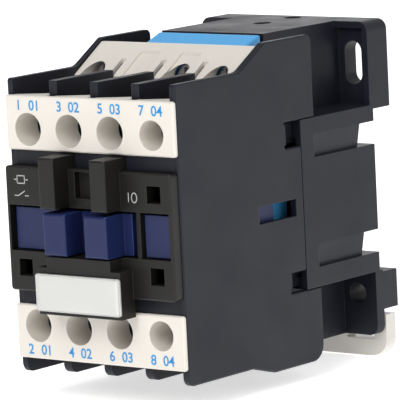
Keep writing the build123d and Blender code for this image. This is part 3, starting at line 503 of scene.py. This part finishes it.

# %% [markdown]
# The rail clip is pushed up by two small springs side by side. They are one piece in the model,
# so both helices stand for it; each one is wound once at its rest length.

# %% Clip springs
CLIP_SPRING_TURNS = 6.0
CLIP_WIRE = 0.5 * MM

spring_low, spring_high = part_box("clip_springs")
coil_radius = (spring_high.y - spring_low.y) / 2
coil_y = (spring_high.y + spring_low.y) / 2
for side, coil_x in (("left", spring_low.x + coil_radius), ("right", spring_high.x - coil_radius)):
    clip_coil = helix(
        f"wound_clip_spring_{side}", (coil_x, coil_y, 0), coil_radius - CLIP_WIRE / 2, CLIP_WIRE,
        spring_low.z, spring_high.z, Z_AXIS, CLIP_SPRING_TURNS, "root")
    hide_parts("clip_springs")
    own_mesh(clip_coil)
print("two clip springs,", CLIP_SPRING_TURNS, "turns each")

# %% [markdown]
# ## The coil
#
# Fine wire is wound in layers on the blue former. The outermost layer shows as close, even
# ridges round the coil. The real wire is about 0.15 mm thick and is drawn at 0.45 mm, so that
# the turns can be seen.

# %% Coil winding
TURN_MM = 0.45
COIL_WALL_MM = 2.6  # thickness of the winding
CORNER_POWER = 6  # the higher, the squarer the coil's corners


def wound_coil(name, node_name):
    """A closed profile carried round a rounded rectangle. The profile runs along the coil's
    depth with one half-circle per turn, then comes back along the flat inner wall. The rounded
    rectangle is a superellipse: |x/a| and |z/b|, each to the power 6, add up to 1."""
    low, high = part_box(node_name)
    half_x, half_z = high.x, high.z
    depth = high.y - low.y
    turns = int(depth / (TURN_MM * MM))
    along = np.linspace(0, turns, turns * 8 + 1)
    ridge = np.sqrt(1 - (2 * (along % 1) - 1) ** 2) * TURN_MM * MM / 2
    y = low.y + depth * along / turns
    inner = [COIL_WALL_MM * MM] * 2
    sunk = np.concatenate([TURN_MM * MM / 2 - ridge, inner])
    y = np.concatenate([y, [high.y, low.y]])
    s = np.linspace(0, 2 * math.pi, 160, endpoint=False)
    power = 2 / CORNER_POWER
    corner_x = np.sign(np.cos(s)) * np.abs(np.cos(s)) ** power
    corner_z = np.sign(np.sin(s)) * np.abs(np.sin(s)) ** power
    rows = np.empty((len(y), len(s), 3))
    rows[..., 0] = (half_x - sunk[:, None]) * corner_x
    rows[..., 1] = y[:, None]
    rows[..., 2] = (half_z - sunk[:, None]) * corner_z
    coil = grid_piece(name, rows, enamel, "root", close_rows=True)
    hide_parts(node_name)
    return turns


print("turns in the outer layer:", wound_coil("wound_coil", "coil_winding"))

# %% [markdown]
# ## The marker plate
#
# The white label plate is pressed from sheet plastic, so its face is very slightly crowned and
# its edges are rolled. It is built from loops: rounded rectangles that start small in the
# middle of the back, grow to the rim, roll over the edge and shrink again across the front.

# %% Marker plate
LOOP_POINTS = 96
CORE_RADIUS = 0.2 * MM  # corner radius of the plate inside its rolled edge


def rounded_loop(half_w, half_h, radius):
    """Points round a rectangle with round corners: the offset of a smaller rectangle by radius,
    where angle s picks the corner and the direction of the offset."""
    s = (np.arange(LOOP_POINTS) + 0.5) / LOOP_POINTS * 2 * math.pi
    x = np.sign(np.cos(s)) * (half_w - radius) + radius * np.cos(s)
    z = np.sign(np.sin(s)) * (half_h - radius) + radius * np.sin(s)
    return x, z


def crowned_plate(name, node_name, crown_mm, roll_mm):
    """Loops at shares of the plate's size. The front stands forward by the crown times one minus
    the share squared; the rolled edge is a quarter circle of the roll's radius."""
    low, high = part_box(node_name)
    half_w, half_h = (high.x - low.x) / 2, (high.z - low.z) / 2
    centre_x, centre_z = (high.x + low.x) / 2, (high.z + low.z) / 2
    roll, crown = roll_mm * MM, crown_mm * MM
    flat = low.y + crown
    shares = np.linspace(0.02, 1.0, 12)
    bend = np.linspace(0, math.pi / 2, 7)[1:]
    loops = []
    for share in shares:
        loops.append((share, 0.0, high.y))
    loops.append((1.0, -roll, high.y))
    for angle in bend[::-1]:
        rolled = flat + roll * (1 - math.sin(angle))
        loops.append((1.0, -roll * math.sin(angle), rolled))
    for share in shares[::-1]:
        loops.append((share, 0.0, flat - crown * (1 - share**2)))
    rows = np.empty((len(loops), LOOP_POINTS, 3))
    for row, (share, grown, y) in zip(rows, loops):
        x, z = rounded_loop((half_w - roll) * share - grown, (half_h - roll) * share - grown,
                            CORE_RADIUS * share - grown)
        row[:, 0], row[:, 1], row[:, 2] = centre_x + x, y, centre_z + z
    plate = grid_piece(name, rows, label_white, "root", fans=True)
    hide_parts(node_name)
    return plate


marker = crowned_plate("crowned_marker_plate", "marker_plate", 0.12, 0.3)
print("marker plate", [round(d / MM, 1) for d in marker.dimensions], "mm")

# %% [markdown]
# ## Prints
#
# The terminal numbers are pad printed in blue on the white covers, and the front plate carries
# three small grey marks. They are plain numbers and lines. Each is a film 0.03 mm thick that
# stands on the surface. Text is turned into a mesh before its place is written into it.

# %% Prints
FILM = 0.03 * MM
BOLD = 0.05 * MM  # the ink spreads a little past the plate's thin strokes
DIGIT_SHARE = 0.7  # a digit's height as a share of the text size


def stand_up(piece, x, z, front):
    """Turns a flat shape in the XY plane to face forwards, centres it on x and z, and writes its
    place into the mesh. front is the y of the surface that it stands on."""
    mesh = piece.data
    count = len(mesh.vertices)
    flat = np.empty(count * 3)
    mesh.vertices.foreach_get("co", flat)
    flat = flat.reshape(-1, 3)
    middle = (flat.max(axis=0) + flat.min(axis=0)) / 2
    placed = np.stack([
        flat[:, 0] - middle[0] + x, front - FILM / 2 - (flat[:, 2] - middle[2]),
        flat[:, 1] - middle[1] + z], axis=1)
    mesh.vertices.foreach_set("co", placed.ravel())
    mesh.update()


def print_number(name, text, height_mm, x, z, front, ink):
    """A number in the plain built-in face, extruded to the film's thickness."""
    curve = bpy.data.curves.new(name, "FONT")
    curve.body = text
    curve.size = height_mm * MM / DIGIT_SHARE
    curve.extrude = FILM / 2
    curve.offset = BOLD
    text_object = bpy.data.objects.new(name + "_text", curve)
    bpy.context.scene.collection.objects.link(text_object)
    bpy.context.view_layer.update()
    graph = bpy.context.evaluated_depsgraph_get()
    mesh = bpy.data.meshes.new_from_object(text_object.evaluated_get(graph))
    bpy.data.objects.remove(text_object)
    piece = bpy.data.objects.new(name, mesh)
    bpy.context.scene.collection.objects.link(piece)
    mesh.materials.clear()
    mesh.materials.append(ink)
    stand_up(piece, x, z, front)
    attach(piece, "root")
    return piece


upper_low, upper_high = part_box("upper_terminal_cover")
lower_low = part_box("lower_terminal_cover")[0]
pole_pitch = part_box("terminal_screw_2")[0].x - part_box("terminal_screw_1")[0].x
first_pole = sum(c.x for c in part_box("terminal_screw_1")) / 2
NUMBER_MM = 2.1
NUMBER_EDGE = 2.0 * MM  # middle of a number to the cover's far edge
NUMBER_LEFT, NUMBER_RIGHT = 2.3 * MM, 1.7 * MM  # to the middle of the hole
for pole in range(POLES):
    x = first_pole + pole * pole_pitch
    for row, z, number, cover_front in (
            ("line", upper_high.z - NUMBER_EDGE, 2 * pole + 1, upper_low.y),
            ("load", lower_low.z + NUMBER_EDGE, 2 * pole + 2, lower_low.y)):
        print_number(f"{row}_number_{number}", str(number), NUMBER_MM, x - NUMBER_LEFT, z,
                     cover_front, blue_ink)
        print_number(f"{row}_pole_{number}", f"0{pole + 1}", NUMBER_MM, x + NUMBER_RIGHT, z,
                     cover_front, blue_ink)
print("terminal numbers printed")

# %% [markdown]
# The front plate's marks are drawn with strokes: a coil symbol over a contact symbol on the
# left, and the line and ring of on and off on the right. A stroke is a flat bar with a
# rectangular section.

# %% Marks on the front plate
STROKE = 0.22 * MM


def stroke_rows(path, front):
    """A rectangular section carried along a path of (x, z) points: half the stroke's width to
    each side of the path's direction, from the surface to one film's thickness in front."""
    along = np.gradient(path, axis=0)
    along /= np.linalg.norm(along, axis=1, keepdims=True)
    aside = np.stack([-along[:, 1], along[:, 0]], axis=1) * STROKE / 2
    rows = np.empty((len(path), 4, 3))
    corners = ((1, front - FILM), (-1, front - FILM), (-1, front), (1, front))
    for corner, (side, y) in enumerate(corners):
        rows[:, corner, [0, 2]] = path + side * aside
        rows[:, corner, 1] = y
    return rows


def mark(name, paths, x, z, front):
    """A mark made of strokes, with paths in millimetres round the mark's middle."""
    for number, path in enumerate(paths, start=1):
        rows = stroke_rows(np.array(path, float) * MM + (x, z), front)
        stroke = grid_piece(f"{name}_{number}", rows, grey_ink, "root", fans=True)


panel_low, panel_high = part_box("front_panel")
PANEL_T = 2.5 * MM  # the plate itself; its ribs and marker holder stand further out
plate_front = panel_high.y - PANEL_T
left_x, right_x = panel_low.x + 4.3 * MM, panel_high.x - 10.2 * MM
COIL_DROP, CONTACT_DROP, ON_OFF_DROP = 5.6 * MM, 9.0 * MM, 8.0 * MM  # below the ribs' top
coil_mark = [[(-1.9, 0), (-1.0, 0)], [(1.0, 0), (1.9, 0)], [(-1.0, -0.8), (-1.0, 0.8)],
             [(1.0, -0.8), (1.0, 0.8)], [(-1.1, 0.8), (1.1, 0.8)], [(-1.1, -0.8), (1.1, -0.8)]]
contact_mark = [[(-1.9, 0), (-0.8, 0)], [(-0.8, 0), (0.9, 1.0)], [(0.9, 0), (1.9, 0)]]
mark("coil_mark", coil_mark, left_x, panel_high.z - COIL_DROP, plate_front)
mark("contact_mark", contact_mark, left_x, panel_high.z - CONTACT_DROP, plate_front)
ring = np.linspace(0, 2 * math.pi, 33)
on_off = [[(-0.9, -1.0), (-0.9, 1.0)],
          np.stack([0.6 + 0.7 * np.cos(ring), 1.0 * np.sin(ring)], axis=1)]
mark("on_off_mark", on_off, right_x, panel_high.z - ON_OFF_DROP, plate_front)
print("front plate marked")

# %% [markdown]
# ## Floor and light
#
# The floor is a pale sheet. A big soft light above the camera's left side lights the front, a
# smaller one on the right lifts the side wall, and a low one behind puts a glare on the flat
# tops. The surroundings are bright behind and to the right but dimmer at the front left, which
# is what keeps the black front plate dark.

# %% Floor
# White paper: matt, with a glow of its own that keeps shadows thin, as a lit sweep does.
FLOOR = 6.0  # half the sheet's side
FLOOR_GAP = 0.0002
FLOOR_GLOW = 0.62
floor_z = cad_box[0].z - FLOOR_GAP
mesh = bpy.data.meshes.new("floor")
mesh.from_pydata([(-FLOOR, -FLOOR, floor_z), (FLOOR, -FLOOR, floor_z), (FLOOR, FLOOR, floor_z),
                  (-FLOOR, FLOOR, floor_z)], [], [(0, 1, 2, 3)])
floor = bpy.data.objects.new("floor", mesh)
bpy.context.scene.collection.objects.link(floor)
paper, paper_tree, paper_shader, paper_place = new_material("white_paper_sweep")
fibres = add_node(paper_tree, "ShaderNodeTexNoise", {"Vector": paper_place, "Scale": 400.0})
tone = add_node(paper_tree, "ShaderNodeMix", {
    0: fibres.outputs["Fac"], MIX_A: linear("#fafafa"), MIX_B: linear("#fdfdfd")},
    data_type="RGBA")
paper_tree.links.new(tone.outputs[MIX_OUT], paper_shader.inputs["Base Color"])
paper_shader.inputs["Roughness"].default_value = 0.9
paper_shader.inputs["Emission Color"].default_value = (1, 1, 1, 1)
paper_shader.inputs["Emission Strength"].default_value = FLOOR_GLOW
mesh.materials.append(paper)
print("floor at", round(floor_z, 4))

# %% [markdown]
# The lamps are square soft boxes. The world's brightness follows how far a direction points back
# and to the right: it is the dot product with one fixed direction, mapped to a strength.

# %% Lights
def soft_light(name, place, target, size, power):
    """A square lamp at a place, turned to face a target."""
    lamp = bpy.data.lights.new(name, "AREA")
    lamp.shape = "SQUARE"
    lamp.size = size
    lamp.energy = power
    lamp_object = bpy.data.objects.new(name, lamp)
    aim = (Vector(target) - Vector(place)).to_track_quat("-Z", "Y")
    lamp_object.matrix_world = Matrix.Translation(place) @ aim.to_matrix().to_4x4()
    bpy.context.scene.collection.objects.link(lamp_object)


soft_light("front_softbox", (0.15, -0.9, 0.75), (0, -0.03, 0), 0.7, 7.9)
soft_light("side_softbox", (0.9, -0.15, 0.55), (0, -0.03, 0), 0.6, 1.3)
soft_light("back_softbox", (-0.55, 0.9, 0.28), (0, 0, 0.02), 0.5, 0.9)

DIM, BRIGHT = 0.12, 0.62  # strength of the surroundings at the front left and at the back right
world = bpy.data.worlds.new("studio")
bpy.context.scene.world = world
world.use_nodes = True
studio = world.node_tree
background = studio.nodes["Background"]
facing = add_node(studio, "ShaderNodeVectorMath", {
    0: add_node(studio, "ShaderNodeTexCoord").outputs["Generated"], 1: (0.62, 0.78, 0.1)},
    operation="DOT_PRODUCT")
brightness = add_node(studio, "ShaderNodeMapRange", {
    "Value": facing.outputs["Value"], "From Min": -0.9, "From Max": 0.4, "To Min": DIM,
    "To Max": BRIGHT})
studio.links.new(brightness.outputs["Result"], background.inputs["Strength"])
background.inputs["Color"].default_value = (1.0, 1.0, 1.0, 1.0)
print("three lamps and a studio world")
